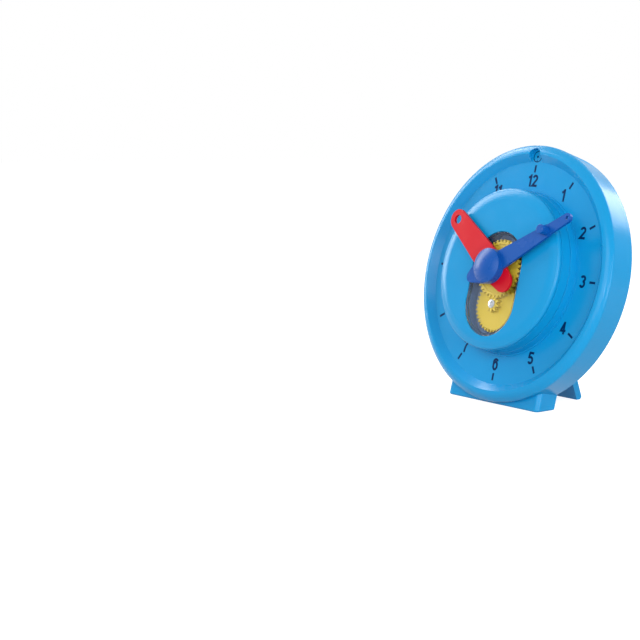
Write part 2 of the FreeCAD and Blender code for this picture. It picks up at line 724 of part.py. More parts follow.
def axle_push_nut():
    """Dished spring washer pushed on the axle's end, which keeps the idler on."""
    low = PINION_FRONT + AXIAL_GAP
    nut = spun(
        at(AXLE_RADIUS, low + NUT_DISH),
        at(NUT_RADIUS, low),
        at(NUT_RADIUS, low + NUT_THICKNESS),
        at(AXLE_RADIUS, low + NUT_DISH + NUT_THICKNESS),
    )
    return below_centre(nut)


def minute_pinion():
    """Small gear pressed on the minute shaft, behind the hour gear."""
    back = IDLER_BACK - AXIAL_GAP
    front = HOUR_BACK - 2 * AXIAL_GAP
    pinion = toothed(MINUTE_TEETH, IDLER_TEETH, PINION_ADDENDUM, GEAR_ADDENDUM, back, front, TO_SIX)
    hub = disc(2 * SHAFT_RADIUS, TRAY_FLOOR + AXIAL_GAP, IDLER_BACK)
    bore = disc(SHAFT_RADIUS, TRAY_FLOOR + AXIAL_GAP, front)
    return pinion.fuse(hub).cut(bore).removeSplitter()


def minute_shaft():
    """Steel shaft from the clip behind the tray to the minute hand, tapped for the hand's screw."""
    shaft = disc(SHAFT_RADIUS, -SHAFT_BACK_END, SHAFT_TOP)
    front_of_clip = clip_front()
    notch = tube(SHAFT_RADIUS, SHAFT_RADIUS - CLIP_GROOVE, front_of_clip - CLIP_THICKNESS, front_of_clip)
    thread = disc(SCREW_RADIUS, SHAFT_TOP - SCREW_LENGTH, SHAFT_TOP)
    return shaft.cut([notch, thread])


def clip_front():
    """Front face of the shaft clip, against the friction washer."""
    return BOSS_BACK - WASHER_GAP - WASHER_THICKNESS


def friction_washer():
    """Spring washer between the tray's boss and the clip, which makes the hands stay put."""
    return tube(WASHER_RADIUS, SHAFT_RADIUS, clip_front(), clip_front() + WASHER_THICKNESS)


def shaft_clip():
    """Open clip in the shaft's groove."""
    back = clip_front() - CLIP_THICKNESS
    clip = tube(CLIP_RADIUS, SHAFT_RADIUS - CLIP_GROOVE, back, clip_front())
    mouth_corner = Vector(-CLIP_MOUTH / 2, -CLIP_RADIUS, back)
    return clip.cut(Part.makeBox(CLIP_MOUTH, CLIP_RADIUS, CLIP_THICKNESS, mouth_corner))


def tapered(low_at, low_half, high_at, high_half, high_radius, back, front):
    """Flat arm towards twelve with straight sides and a round end about high_at."""
    reach = math.sqrt(max(high_radius ** 2 - high_half ** 2, 0.0))
    wire = drawn(
        Vector(-low_half, low_at, 0),
        Vector(low_half, low_at, 0),
        Vector(high_half, high_at + reach, 0),
        (Vector(0, high_at + high_radius, 0), Vector(-high_half, high_at + reach, 0)),
    )
    return slab(wire, back, front)


def hour_hand():
    """Red hand: broad arm with a finger hole near its tip, and a round tail."""
    back = HOUR_HAND_BACK
    front = back + HOUR_HAND_THICKNESS
    half = HOUR_HAND_HUB_HALF_WIDTH
    tip = HOUR_HAND_TIP_RADIUS
    arm = tapered(0, half, HOUR_HAND_HOLE_AT, tip, tip, back, front)
    hub = disc(half, back, front)
    tail = disc(HOUR_HAND_TAIL_RADIUS, back, front, 0, -HOUR_HAND_TAIL_AT)
    neck = slab(
        drawn(
            Vector(-half, 0, 0),
            Vector(-HOUR_HAND_TAIL_RADIUS, -HOUR_HAND_TAIL_AT, 0),
            Vector(HOUR_HAND_TAIL_RADIUS, -HOUR_HAND_TAIL_AT, 0),
            Vector(half, 0, 0),
        ),
        back,
        front,
    )
    holes = [
        disc(SLEEVE_NECK_RADIUS, back, front),
        disc(HOUR_HAND_HOLE_RADIUS, back, front, 0, HOUR_HAND_HOLE_AT),
    ]
    hand = arm.fuse([hub, neck, tail]).cut(holes).removeSplitter()
    return turned(hand, HOUR_HAND_ANGLE)


def minute_hand():
    """Blue hand: tapered arm, narrow past the knob, with a deep round hub and a short tail."""
    back = MINUTE_HAND_BACK
    tip_at = MINUTE_HAND_LENGTH - MINUTE_HAND_TIP_RADIUS
    arm = tapered(
        0, MINUTE_HAND_ROOT_HALF_WIDTH, MINUTE_HAND_KNOB_AT, MINUTE_HAND_KNOB_HALF_WIDTH,
        MINUTE_HAND_KNOB_HALF_WIDTH, back, HAND_FRONT,
    )
    tip = tapered(
        MINUTE_HAND_KNOB_AT, MINUTE_HAND_NECK_HALF_WIDTH, tip_at, MINUTE_HAND_TIP_RADIUS,
        MINUTE_HAND_TIP_RADIUS, back, HAND_FRONT,
    )
    hub = disc(HUB_RADIUS, back, HUB_TOP)
    tail_radius = MINUTE_HAND_TAIL_RADIUS
    tail_at = -MINUTE_HAND_TAIL_AT
    turn = math.asin((HUB_RADIUS - tail_radius) / MINUTE_HAND_TAIL_AT)
    across = math.cos(turn)
    along = math.sin(turn)
    tail = slab(
        drawn(
            Vector(HUB_RADIUS * across, -HUB_RADIUS * along, 0),
            Vector(-HUB_RADIUS * across, -HUB_RADIUS * along, 0),
            Vector(-tail_radius * across, tail_at - tail_radius * along, 0),
            (
                Vector(0, tail_at - tail_radius, 0),
                Vector(tail_radius * across, tail_at - tail_radius * along, 0),
            ),
        ),
        back,
        back + MINUTE_HAND_TAIL_HEIGHT,
    )
    room = disc(HUB_RADIUS - CAP_WALL, HAND_FRONT, HUB_TOP)
    holes = [
        disc(SHAFT_RADIUS, back, SHAFT_TOP),
        disc(SCREW_RADIUS + SCREW_CLEARANCE, back, HUB_TOP),
        disc(KNOB_STEM_RADIUS, back, HAND_FRONT, 0, MINUTE_HAND_KNOB_AT),
        disc(MINUTE_HAND_HOLE_RADIUS, back, HAND_FRONT, 0, tip_at),
    ]
    hand = arm.fuse([tip, hub, tail]).cut([room] + holes).removeSplitter()
    return turned(hand, MINUTE_HAND_ANGLE)


def hub_cap():
    """Domed cap over the hub and its screw."""
    outer = (HUB_RADIUS ** 2 + CAP_DOME_HEIGHT ** 2) / (2 * CAP_DOME_HEIGHT)
    inner = outer - CAP_WALL
    middle = HUB_TOP + CAP_DOME_HEIGHT - outer
    plug = HUB_RADIUS - CAP_WALL
    bore = plug - CAP_WALL

    def on_sphere(size, radius):
        """Point of a sphere about the dome's middle, at a distance from the dial's axis."""
        return at(radius, middle + math.sqrt(size ** 2 - radius ** 2))

    return spun(
        on_sphere(inner, 0),
        (on_sphere(inner, bore / 2), on_sphere(inner, bore)),
        at(bore, HAND_FRONT),
        at(plug, HAND_FRONT),
        at(plug, HUB_TOP),
        at(HUB_RADIUS, HUB_TOP),
        (on_sphere(outer, HUB_RADIUS / 2), on_sphere(outer, 0)),
    )


def finger_knob():
    """Round knob pressed in the minute hand, which the finger pushes."""
    top = HAND_FRONT + KNOB_HEIGHT
    knob = spun(
        at(0, MINUTE_HAND_BACK),
        at(KNOB_STEM_RADIUS, MINUTE_HAND_BACK),
        at(KNOB_STEM_RADIUS, HAND_FRONT),
        at(KNOB_RADIUS, HAND_FRONT),
        at(KNOB_RADIUS, top - KNOB_ROUND),
        corner(KNOB_RADIUS, top, KNOB_ROUND),
        at(0, top),
    )
    knob.translate(Vector(0, MINUTE_HAND_KNOB_AT, 0))
    return turned(knob, MINUTE_HAND_ANGLE)


def screw(facing):
    """Pan head screw with a cross recess. Its head seats at n = 0 and faces along +n or -n."""
    head = SCREW_HEAD_HEIGHT
    shank = spun(
        at(0, -SCREW_LENGTH),
        at(SCREW_RADIUS - SCREW_TIP / 2, -SCREW_LENGTH),
        at(SCREW_RADIUS, SCREW_TIP - SCREW_LENGTH),
        at(SCREW_RADIUS, 0),
        at(SCREW_HEAD_RADIUS, 0),
        at(SCREW_HEAD_RADIUS, SCREW_HEAD_EDGE),
        (at(SCREW_CROWN_ROUND, SCREW_HEAD_EDGE + SCREW_CROWN_RISE), at(SCREW_CROWN_RADIUS, head)),
        at(0, head),
    )
    bars = [
        Part.makeBox(long, wide, RECESS_DEPTH, Vector(-long / 2, -wide / 2, head - RECESS_DEPTH))
        for long, wide in ((RECESS_LENGTH, RECESS_WIDTH), (RECESS_WIDTH, RECESS_LENGTH))
    ]
    body = shank.cut(bars)
    if facing < 0:
        body.rotate(Vector(0, 0, 0), Vector(1, 0, 0), 180)
    return body


def screws(places, seat, facing):
    """Group of separate screws whose heads seat at one height."""
    group = []
    for u, v in places:
        one = screw(facing)
        one.translate(Vector(u, v, seat))
        group.append(one)
    return Part.makeCompound(group)


def pieces():
    """Every piece by name, in dial axes."""
    return {
        "front_case": front_case(),
        "back_case": back_case(),
        "rear_stand": rear_stand(),
        "window_lens": window_lens(),
        "gear_tray": gear_tray(),
        "hour_gear": hour_gear(),
        "idler_gear": idler_gear(),
        "idler_pinion": idler_pinion(),
        "idler_axle": idler_axle(),
        "axle_push_nut": axle_push_nut(),
        "minute_pinion": minute_pinion(),
        "minute_shaft": minute_shaft(),
        "friction_washer": friction_washer(),
        "shaft_clip": shaft_clip(),
        "hour_hand": hour_hand(),
        "minute_hand": minute_hand(),
        "hub_cap": hub_cap(),
        "finger_knob": finger_knob(),
        "hand_screw": screws([(0, 0)], HAND_FRONT, 1),
        "case_screws": screws(case_screw_places(), COVER_FACE + SCREW_HEAD_HEIGHT, -1),
        "tray_screws": screws(tray_screw_places(), TRAY_BACK, -1),
        "stand_screws": screws(stand_screw_places(), COVER_FACE - PAD_THICKNESS + SCREW_HEAD_HEIGHT, -1),
    }


def main():
    """Lean every piece back, set the whole on the table and write one file for each."""
    os.makedirs("parts", exist_ok=True)
    parts = pieces()
    for shape in parts.values():
        shape.rotate(Vector(0, 0, 0), Vector(1, 0, 0), 90 - LEAN)
    room = FreeCAD.BoundBox()
    for shape in parts.values():
        room.add(shape.optimalBoundingBox())
    middle = (room.YMin + room.YMax) / 2
    for name, shape in parts.items():
        shape.translate(Vector(0, -middle, DIAL_HEIGHT))
        shape.exportStep(f"parts/{name}.step")
        lowest = shape.optimalBoundingBox().ZMin
        print(name, shape.isValid(), len(shape.Solids), round(shape.Volume, 1), round(lowest, 3))
    print("dial centre y", round(-middle, 4), "depth", round(room.YLength, 2))


main()
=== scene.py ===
"""Looks of the geared teaching clock, built around its packed construction.

Lengths are in metres and MM turns millimetres into them. Dial places are given in the dial's
own axes: u to three o'clock, v to twelve, n out of the dial towards the reader.
"""

import json
import logging
import math
from dataclasses import dataclass
from enum import Enum

import bmesh
import bpy
from mathutils import Matrix, Vector


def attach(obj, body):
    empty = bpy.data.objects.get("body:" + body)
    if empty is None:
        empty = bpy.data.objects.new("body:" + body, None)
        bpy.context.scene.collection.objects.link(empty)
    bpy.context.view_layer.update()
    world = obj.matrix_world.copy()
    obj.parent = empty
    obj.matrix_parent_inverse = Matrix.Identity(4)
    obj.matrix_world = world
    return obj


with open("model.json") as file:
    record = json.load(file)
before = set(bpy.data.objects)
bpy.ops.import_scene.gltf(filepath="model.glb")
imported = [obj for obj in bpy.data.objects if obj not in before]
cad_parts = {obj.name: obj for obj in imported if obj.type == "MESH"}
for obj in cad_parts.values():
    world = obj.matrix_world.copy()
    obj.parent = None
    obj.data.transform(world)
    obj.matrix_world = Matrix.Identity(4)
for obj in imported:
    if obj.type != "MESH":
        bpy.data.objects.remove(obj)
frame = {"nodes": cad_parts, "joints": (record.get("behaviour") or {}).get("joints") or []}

MM = 0.001
NOISE_MIDDLE = 0.5
SHARP_ANGLE = 32.0
MERGE_DISTANCE = 0.001 * MM

log = logging.getLogger("clock")

Point = tuple[float, float]
Colour = tuple[int, int, int]
Socket = bpy.types.NodeSocket


class Slot(Enum):
    """Material slot names, which none of this script's pieces takes."""

    CASE_BLUE = "case_blue"


class Body(Enum):
    """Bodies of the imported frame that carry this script's own pieces."""

    CLOCK = "clock"


class Group(Enum):
    """Shader node groups that several materials share."""

    COLOUR_DRIFT = "colour_drift"
    MOULDED_SKIN = "moulded_skin"
    HANDLING_MARKS = "handling_marks"
    EDGE_WEAR = "edge_wear"
    TURNED_RINGS = "turned_rings"


def linear(colour: Colour, alpha: float = 1.0) -> tuple[float, float, float, float]:
    """Turn a colour as seen on a screen into the renderer's linear values.

    Args:
        colour: red, green and blue from 0 to 255.
        alpha: opacity.

    Returns:
        Linear red, green, blue and alpha.
    """
    knee, slope, offset, power = 0.04045, 12.92, 0.055, 2.4
    parts = [
        share / slope if share <= knee else ((share + offset) / (1 + offset)) ** power
        for share in (part / 255 for part in colour)
    ]
    return (*parts, alpha)


class NodeSheet:
    """A node tree with short calls that place and wire its nodes."""

    def __init__(self, tree: bpy.types.NodeTree) -> None:
        """Start from a tree.

        Args:
            tree: the node tree of a material, a world or a group.
        """
        self.tree = tree

    def node(self, kind: str, **settings: object) -> bpy.types.Node:
        """Place a node.

        Args:
            kind: the node's type.
            settings: its properties by name.

        Returns:
            The new node.
        """
        placed = self.tree.nodes.new(kind)
        for key, value in settings.items():
            setattr(placed, key, value)
        return placed

    def feed(self, socket: Socket, value: object) -> None:
        """Wire an output into a socket, or set the socket's plain value.

        Args:
            socket: the input socket.
            value: an output socket or a plain value.
        """
        if isinstance(value, bpy.types.NodeSocket):
            self.tree.links.new(value, socket)
        else:
            socket.default_value = value

    def maths(self, operation: str, *terms: object, clamp: bool = False) -> Socket:
        """Work out a number.

        Args:
            operation: the Math node's operation.
            terms: its inputs in order.
            clamp: whether to keep the result between 0 and 1.

        Returns:
            The result's socket.
        """
        placed = self.node("ShaderNodeMath", operation=operation, use_clamp=clamp)
        for socket, term in zip(placed.inputs, terms):
            self.feed(socket, term)
        return placed.outputs[0]

    def stretch(self, value: object, low: float, high: float, to_low: object = 0.0,
                to_high: object = 1.0) -> Socket:
        """Stretch a range of a value onto another range, and hold it there.

        Args:
            value: what to stretch.
            low: where the range starts.
            high: where the range ends.
            to_low: result at low.
            to_high: result at high.

        Returns:
            The result's socket.
        """
        placed = self.node("ShaderNodeMapRange", clamp=True)
        terms = {"Value": value, "From Min": low, "From Max": high, "To Min": to_low, "To Max": to_high}
        for name, term in terms.items():
            self.feed(placed.inputs[name], term)
        return placed.outputs["Result"]

    def noise(self, scale: object, detail: float = 3.0, place: Socket | None = None) -> Socket:
        """Noise between 0 and 1 over the piece.

        Args:
            scale: features per metre.
            detail: number of octaves.
            place: coordinates, or None for the piece's own.

        Returns:
            The noise value's socket.
        """
        placed = self.node("ShaderNodeTexNoise", noise_dimensions="3D")
        self.feed(placed.inputs["Vector"], place or self.place())
        self.feed(placed.inputs["Scale"], scale)
        self.feed(placed.inputs["Detail"], detail)
        return placed.outputs[0]

    def place(self) -> Socket:
        """The piece's own coordinates in metres."""
        return self.node("ShaderNodeTexCoord").outputs["Object"]

    def blend(self, share: object, first: object, second: object) -> Socket:
        """Blend two colours.

        Args:
            share: how much of the second colour shows.
            first: first colour.
            second: second colour.

        Returns:
            The blended colour's socket.
        """
        placed = self.node("ShaderNodeMix", data_type="RGBA")
        self.feed(placed.inputs["Factor"], share)
        first_socket, second_socket = [socket for socket in placed.inputs if socket.type == "RGBA"]
        self.feed(first_socket, first)
        self.feed(second_socket, second)
        return next(socket for socket in placed.outputs if socket.type == "RGBA")

    def place_group(self, group: Group, **values: object) -> bpy.types.Node:
        """Place a shared node group.

        Args:
            group: which group.
            values: its inputs, with underscores for the spaces in their names.

        Returns:
            The group's node.
        """
        placed = self.node("ShaderNodeGroup", node_tree=shared_group(group))
        for key, value in values.items():
            self.feed(placed.inputs[key.replace("_", " ")], value)
        return placed


class GroupBuilder(NodeSheet):
    """A node group under construction."""

    def __init__(self, group: Group) -> None:
        """Start an empty group.

        Args:
            group: the group's name.
        """
        super().__init__(bpy.data.node_groups.new(group.value, "ShaderNodeTree"))
        self.entry = self.node("NodeGroupInput")
        self.exit = self.node("NodeGroupOutput")

    def number(self, name: str, value: float) -> Socket:
        """Add a number input.

        Args:
            name: the socket's name.
            value: its value where nothing is set.

        Returns:
            The input as seen inside the group.
        """
        made = self.tree.interface.new_socket(name, in_out="INPUT", socket_type="NodeSocketFloat")
        made.default_value = value
        return self.entry.outputs[name]

    def colour(self, name: str) -> Socket:
        """Add a colour input, and return it as seen inside the group."""
        self.tree.interface.new_socket(name, in_out="INPUT", socket_type="NodeSocketColor")
        return self.entry.outputs[name]

    def give(self, name: str, value: Socket, kind: str = "NodeSocketFloat") -> None:
        """Add an output.

        Args:
            name: the socket's name.
            value: what it puts out.
            kind: the socket's type.
        """
        self.tree.interface.new_socket(name, in_out="OUTPUT", socket_type=kind)
        self.tree.links.new(value, self.exit.inputs[name])


def colour_drift() -> GroupBuilder:
    """Slow change of a colour over a piece, as pigment spreads unevenly in a moulding; turned up
    strongly, as on the gear tray, it paints streaks of reflected light.

    Returns:
        The group.
    """
    finer, wide_share, fine_share = 9.0, 0.7, 0.3
    brightness_swing, hue_swing, plain_hue = 2.0, 0.08, 0.5
    group = GroupBuilder(Group.COLOUR_DRIFT)
    colour = group.colour("Colour")
    amount = group.number("Amount", 0.05)
    patches = group.number("Patches", 14.0)
    wide = group.noise(patches, 2.0)
    fine = group.noise(group.maths("MULTIPLY", patches, finer), 3.0)
    wide_part = group.maths("MULTIPLY", wide, wide_share)
    swing = group.maths("ADD", wide_part, group.maths("MULTIPLY", fine, fine_share))
    offset = group.maths("MULTIPLY", group.maths("SUBTRACT", swing, NOISE_MIDDLE), amount)
    tone = group.node("ShaderNodeHueSaturation")
    group.feed(tone.inputs["Color"], colour)
    group.feed(tone.inputs["Value"], group.maths("MULTIPLY_ADD", offset, brightness_swing, 1.0))
    group.feed(tone.inputs["Hue"], group.maths("MULTIPLY_ADD", offset, hue_swing, plain_hue))
    group.give("Colour", tone.outputs["Color"], "NodeSocketColor")
    return group


def moulded_skin() -> GroupBuilder:
    """Height of a moulded surface: a slow wave where the plastic shrank, and a fine tool grain.

    Returns:
        The group.
    """
    waves_per_metre = 38.0
    group = GroupBuilder(Group.MOULDED_SKIN)
    grain = group.number("Grain Size", 0.5 * MM)
    depth = group.number("Grain Share", 0.35)
    wave = group.noise(waves_per_metre, 1.0)
    frequency = group.maths("DIVIDE", 1.0, grain)
    pebble = group.node("ShaderNodeTexVoronoi", feature="SMOOTH_F1")
    group.feed(pebble.inputs["Vector"], group.place())
    group.feed(pebble.inputs["Scale"], frequency)
    mottle = group.noise(frequency, 2.0)
    skin = group.maths("MULTIPLY", group.maths("ADD", pebble.outputs["Distance"], mottle), depth)
    shrinkage = group.maths("MULTIPLY", wave, group.maths("SUBTRACT", 1.0, depth))
    group.give("Height", group.maths("ADD", shrinkage, skin))
    return group


def handling_marks() -> GroupBuilder:
    """Roughness of a handled surface: cloudy finger marks and a few short hairline scratches.

    Returns:
        The group.
    """
    clouds_per_metre, scratched_patches_per_metre = 55.0, 21.0
    scratch_turn, scratch_size = (0.4, 0.9, 0.3), (0.006, 0.0004, 0.004)
    group = GroupBuilder(Group.HANDLING_MARKS)
    clean = group.number("Clean", 0.3)
    smeared = group.number("Smeared", 0.42)
    clouds = group.stretch(group.noise(clouds_per_metre, 4.0), 0.45, 0.72)
    lines = group.node("ShaderNodeMapping", vector_type="TEXTURE")
    group.feed(lines.inputs["Vector"], group.place())
    lines.inputs["Rotation"].default_value = scratch_turn
    lines.inputs["Scale"].default_value = scratch_size
    hairlines = group.stretch(group.noise(1.0, 1.0, lines.outputs["Vector"]), 0.7, 0.78)
    here_and_there = group.stretch(group.noise(scratched_patches_per_metre, 2.0), 0.5, 0.7)
    scratches = group.maths("MULTIPLY", hairlines, here_and_there)
    marked = group.maths("MAXIMUM", clouds, scratches)
    group.give("Roughness", group.stretch(marked, 0, 1, clean, smeared))
    return group


def edge_wear() -> GroupBuilder:
    """Colour rubbed paler along exposed edges, broken up so that no edge is worn evenly.

    Returns:
        The group.
    """
    edge_radius, patches_per_metre = 0.7 * MM, 130.0
    untouched_bend, worn_bend = 0.995, 0.86
    group = GroupBuilder(Group.EDGE_WEAR)
    colour = group.colour("Colour")
    worn = group.colour("Worn Colour")
    amount = group.number("Amount", 0.4)
    rounded = group.node("ShaderNodeBevel", samples=4)
    rounded.inputs["Radius"].default_value = edge_radius
    surface = group.node("ShaderNodeNewGeometry")
    likeness = group.node("ShaderNodeVectorMath", operation="DOT_PRODUCT")
    group.feed(likeness.inputs[0], rounded.outputs["Normal"])
    group.feed(likeness.inputs[1], surface.outputs["Normal"])
    edge = group.stretch(likeness.outputs["Value"], untouched_bend, worn_bend)
    patchy = group.stretch(group.noise(patches_per_metre, 4.0), 0.42, 0.66)
    mask = group.maths("MULTIPLY", group.maths("MULTIPLY", edge, patchy), amount, clamp=True)
    group.give("Colour", group.blend(mask, colour, worn), "NodeSocketColor")
    return group


def turned_rings() -> GroupBuilder:
    """Height of fine turning marks with longer streaks in them.

    Returns:
        The group.
    """
    streaks_per_metre, streak_share = 420.0, 0.5
    group = GroupBuilder(Group.TURNED_RINGS)
    spacing = group.number("Spacing", 0.12 * MM)
    rings = group.noise(group.maths("DIVIDE", 1.0, spacing), 2.0)
    streaks = group.noise(streaks_per_metre, 4.0)
    group.give("Height", group.maths("ADD", rings, group.maths("MULTIPLY", streaks, streak_share)))
    return group


GROUP_MAKERS = {
    Group.COLOUR_DRIFT: colour_drift,
    Group.MOULDED_SKIN: moulded_skin,
    Group.HANDLING_MARKS: handling_marks,
    Group.EDGE_WEAR: edge_wear,
    Group.TURNED_RINGS: turned_rings,
}


def shared_group(group: Group) -> bpy.types.NodeTree:
    """The node tree of a shared group, built on first use."""
    return bpy.data.node_groups.get(group.value) or GROUP_MAKERS[group]().tree


def new_material(name: str) -> tuple[bpy.types.Material, NodeSheet, bpy.types.Node, bpy.types.Node]:
    """Start a material.

    Args:
        name: the material's name.

    Returns:
        The material, its node sheet, its Principled node and its output node.
    """
    made = bpy.data.materials.new(name)
    made.use_nodes = True
    made.node_tree.nodes.clear()
    sheet = NodeSheet(made.node_tree)
    shader = sheet.node("ShaderNodeBsdfPrincipled")
    output = sheet.node("ShaderNodeOutputMaterial")
    sheet.feed(output.inputs["Surface"], shader.outputs["BSDF"])
    return made, sheet, shader, output


@dataclass(frozen=True)
class MouldedPlastic:
    """Injection-moulded plastic with an even colour, a fine skin and rubbed edges."""

    name: str
    colour: Colour
    worn_colour: Colour
    clean: float = 0.2
    smeared: float = 0.26
    drift: float = 0.03
    patches: float = 14.0
    wear: float = 0.25
    grain_size: float = 0.5 * MM
    skin_depth: float = 0.012 * MM
    skin_strength: float = 0.25
    bending: float = 1.47
    gloss: float = 0.25
    grazing: float = 0.7
    haze_from: float = 0.8
    haze_full: float = 0.97

    def material(self) -> bpy.types.Material:
        """Build the finish.

        Returns:
            The material.
        """
        made, sheet, shader, _ = new_material(self.name)
        drift = sheet.place_group(
            Group.COLOUR_DRIFT, Colour=linear(self.colour), Amount=self.drift, Patches=self.patches,
        )
        worn = sheet.place_group(
            Group.EDGE_WEAR, Colour=drift.outputs["Colour"], Worn_Colour=linear(self.worn_colour),
            Amount=self.wear,
        )
        marks = sheet.place_group(Group.HANDLING_MARKS, Clean=self.clean, Smeared=self.smeared)
        skin = sheet.place_group(Group.MOULDED_SKIN, Grain_Size=self.grain_size)
        bump = sheet.node("ShaderNodeBump")
        bump.inputs["Strength"].default_value = self.skin_strength
        bump.inputs["Distance"].default_value = self.skin_depth
        sheet.feed(bump.inputs["Height"], skin.outputs["Height"])
        facing = sheet.node("ShaderNodeLayerWeight")
        haze = sheet.stretch(
            facing.outputs["Facing"], self.haze_from, self.haze_full, 0.0, self.grazing,
        )
        roughness = sheet.maths("MAXIMUM", marks.outputs["Roughness"], haze)
        sheet.feed(shader.inputs["Base Color"], worn.outputs["Colour"])
        sheet.feed(shader.inputs["Roughness"], roughness)
        sheet.feed(shader.inputs["Normal"], bump.outputs["Normal"])
        shader.inputs["IOR"].default_value = self.bending
        shader.inputs["Specular IOR Level"].default_value = self.gloss
        return made


@dataclass(frozen=True)
class TurnedSteel:
    """Bright steel with fine turning marks and a trace of dulling."""

    name: str
    colour: Colour
    dull_colour: Colour
    clean: float = 0.2
    smeared: float = 0.36
    ring_depth: float = 0.02 * MM
    ring_strength: float = 0.35
    dull_patches: float = 240.0

    def material(self) -> bpy.types.Material:
        """Build the finish.

        Returns:
            The material.
        """
        made, sheet, shader, _ = new_material(self.name)
        marks = sheet.place_group(Group.HANDLING_MARKS, Clean=self.clean, Smeared=self.smeared)
        dulling = sheet.stretch(sheet.noise(self.dull_patches, 4.0), 0.4, 0.75)
        tone = sheet.blend(dulling, linear(self.colour), linear(self.dull_colour))
        rings = sheet.place_group(Group.TURNED_RINGS)
        bump = sheet.node("ShaderNodeBump")
        bump.inputs["Strength"].default_value = self.ring_strength
        bump.inputs["Distance"].default_value = self.ring_depth
        sheet.feed(bump.inputs["Height"], rings.outputs["Height"])
        sheet.feed(shader.inputs["Base Color"], tone)
        sheet.feed(shader.inputs["Roughness"], marks.outputs["Roughness"])
        sheet.feed(shader.inputs["Normal"], bump.outputs["Normal"])
        shader.inputs["Metallic"].default_value = 1.0
        return made


@dataclass(frozen=True)
class ClearPlastic:
    """Clear moulded cover with faint smears and hairline scratches."""

    name: str
    colour: Colour
    clean: float = 0.03
    smeared: float = 0.09
    drift: float = 0.01
    bending: float = 1.3

    def material(self) -> bpy.types.Material:
        """Build the finish. Light for the gears behind it passes straight through.

        Returns:
            The material.
        """
        made, sheet, shader, output = new_material(self.name)
        drift = sheet.place_group(Group.COLOUR_DRIFT, Colour=linear(self.colour), Amount=self.drift)
        marks = sheet.place_group(Group.HANDLING_MARKS, Clean=self.clean, Smeared=self.smeared)
        sheet.feed(shader.inputs["Base Color"], drift.outputs["Colour"])
        sheet.feed(shader.inputs["Roughness"], marks.outputs["Roughness"])
        shader.inputs["Transmission Weight"].default_value = 1.0
        shader.inputs["IOR"].default_value = self.bending
        open_way = sheet.node("ShaderNodeBsdfTransparent")
        path = sheet.node("ShaderNodeLightPath")
        either = sheet.node("ShaderNodeMixShader")
        sheet.feed(either.inputs[0], path.outputs["Is Shadow Ray"])
        sheet.feed(either.inputs[1], shader.outputs["BSDF"])
        sheet.feed(either.inputs[2], open_way.outputs["BSDF"])
        sheet.feed(output.inputs["Surface"], either.outputs[0])
        return made


@dataclass(frozen=True)
class PrintedInk:
    """Pad-printed ink, a little uneven in its cover."""

    name: str
    colour: Colour
    thin_colour: Colour
    clean: float = 0.4
    smeared: float = 0.5
    gloss: float = 0.05
    speckles: float = 900.0
    thinnest: float = 0.5

    def material(self) -> bpy.types.Material:
        """Build the finish.

        Returns:
            The material.
        """
        made, sheet, shader, _ = new_material(self.name)
        thin = sheet.stretch(sheet.noise(self.speckles, 4.0), 0.52, 0.8, 0.0, self.thinnest)
        marks = sheet.place_group(Group.HANDLING_MARKS, Clean=self.clean, Smeared=self.smeared)
        tone = sheet.blend(thin, linear(self.colour), linear(self.thin_colour))
        sheet.feed(shader.inputs["Base Color"], tone)
        sheet.feed(shader.inputs["Roughness"], marks.outputs["Roughness"])
        shader.inputs["Specular IOR Level"].default_value = self.gloss
        return made


CASE_FINISH = MouldedPlastic("case_blue_plastic", (10, 142, 200), (70, 170, 214))
COVER_FINISH = MouldedPlastic(
    "cover_blue_plastic", (10, 138, 196), (70, 168, 212), clean=0.36, smeared=0.46, skin_depth=0.06 * MM,
)
# The gear tray is grey plastic, but its strong colour drift paints pale and dark streaks: painted
# reflections that stand in for the light streaks on the window well's wall.
TRAY_FINISH = MouldedPlastic(
    "tray_grey_plastic", (70, 96, 130), (132, 148, 180), clean=0.1, smeared=0.2, drift=0.3,
    patches=60.0, gloss=0.9,
)
GEAR_FINISH = MouldedPlastic(
    "gear_yellow_plastic", (176, 152, 44), (210, 186, 104), clean=0.28, smeared=0.38, drift=0.08,
)
RED_FINISH = MouldedPlastic("hand_red_plastic", (196, 6, 28), (216, 72, 80), clean=0.28, smeared=0.36)
BLUE_FINISH = MouldedPlastic("hand_blue_plastic", (8, 78, 160), (58, 112, 186), clean=0.26, smeared=0.34)
STEEL_FINISH = TurnedSteel("bright_steel", (206, 208, 212), (150, 152, 158))
LENS_FINISH = ClearPlastic("clear_window_plastic", (248, 250, 252))
INK_FINISH = PrintedInk("dial_ink", (0, 40, 82), (4, 64, 116))


def soft_edge_nodes() -> bpy.types.GeometryNodeTree:
    """Geometry nodes that join a solid's split corners and mark its real edges.

    Returns:
        The node tree.
    """
    name = "joined_faces"
    ready = bpy.data.node_groups.get(name)
    if ready:
        return ready
    sheet = NodeSheet(bpy.data.node_groups.new(name, "GeometryNodeTree"))
    for way in ("INPUT", "OUTPUT"):
        sheet.tree.interface.new_socket("Geometry", in_out=way, socket_type="NodeSocketGeometry")
    entry = sheet.node("NodeGroupInput")
    leave = sheet.node("NodeGroupOutput")
    bare = sheet.node("GeometryNodeRemoveAttribute")
    bare.inputs["Name"].default_value = "custom_normal"
    joined = sheet.node("GeometryNodeMergeByDistance")
    joined.inputs["Distance"].default_value = MERGE_DISTANCE
    smooth = sheet.node("GeometryNodeSetShadeSmooth", domain="FACE")
    sharp = sheet.node("GeometryNodeSetShadeSmooth", domain="EDGE")
    bend = sheet.node("GeometryNodeInputMeshEdgeAngle")
    chosen = sheet.node("FunctionNodeCompare", data_type="FLOAT", operation="GREATER_THAN")
    sheet.feed(chosen.inputs[0], bend.outputs["Unsigned Angle"])
    chosen.inputs[1].default_value = math.radians(SHARP_ANGLE)
    sharp.inputs["Shade Smooth"].default_value = False
    chain = (entry, bare, joined, smooth, sharp, leave)
    for before, step in zip(chain, chain[1:]):
        sheet.feed(step.inputs["Geometry"], before.outputs["Geometry"])
    sheet.feed(sharp.inputs["Selection"], chosen.outputs[0])
    return sheet.tree


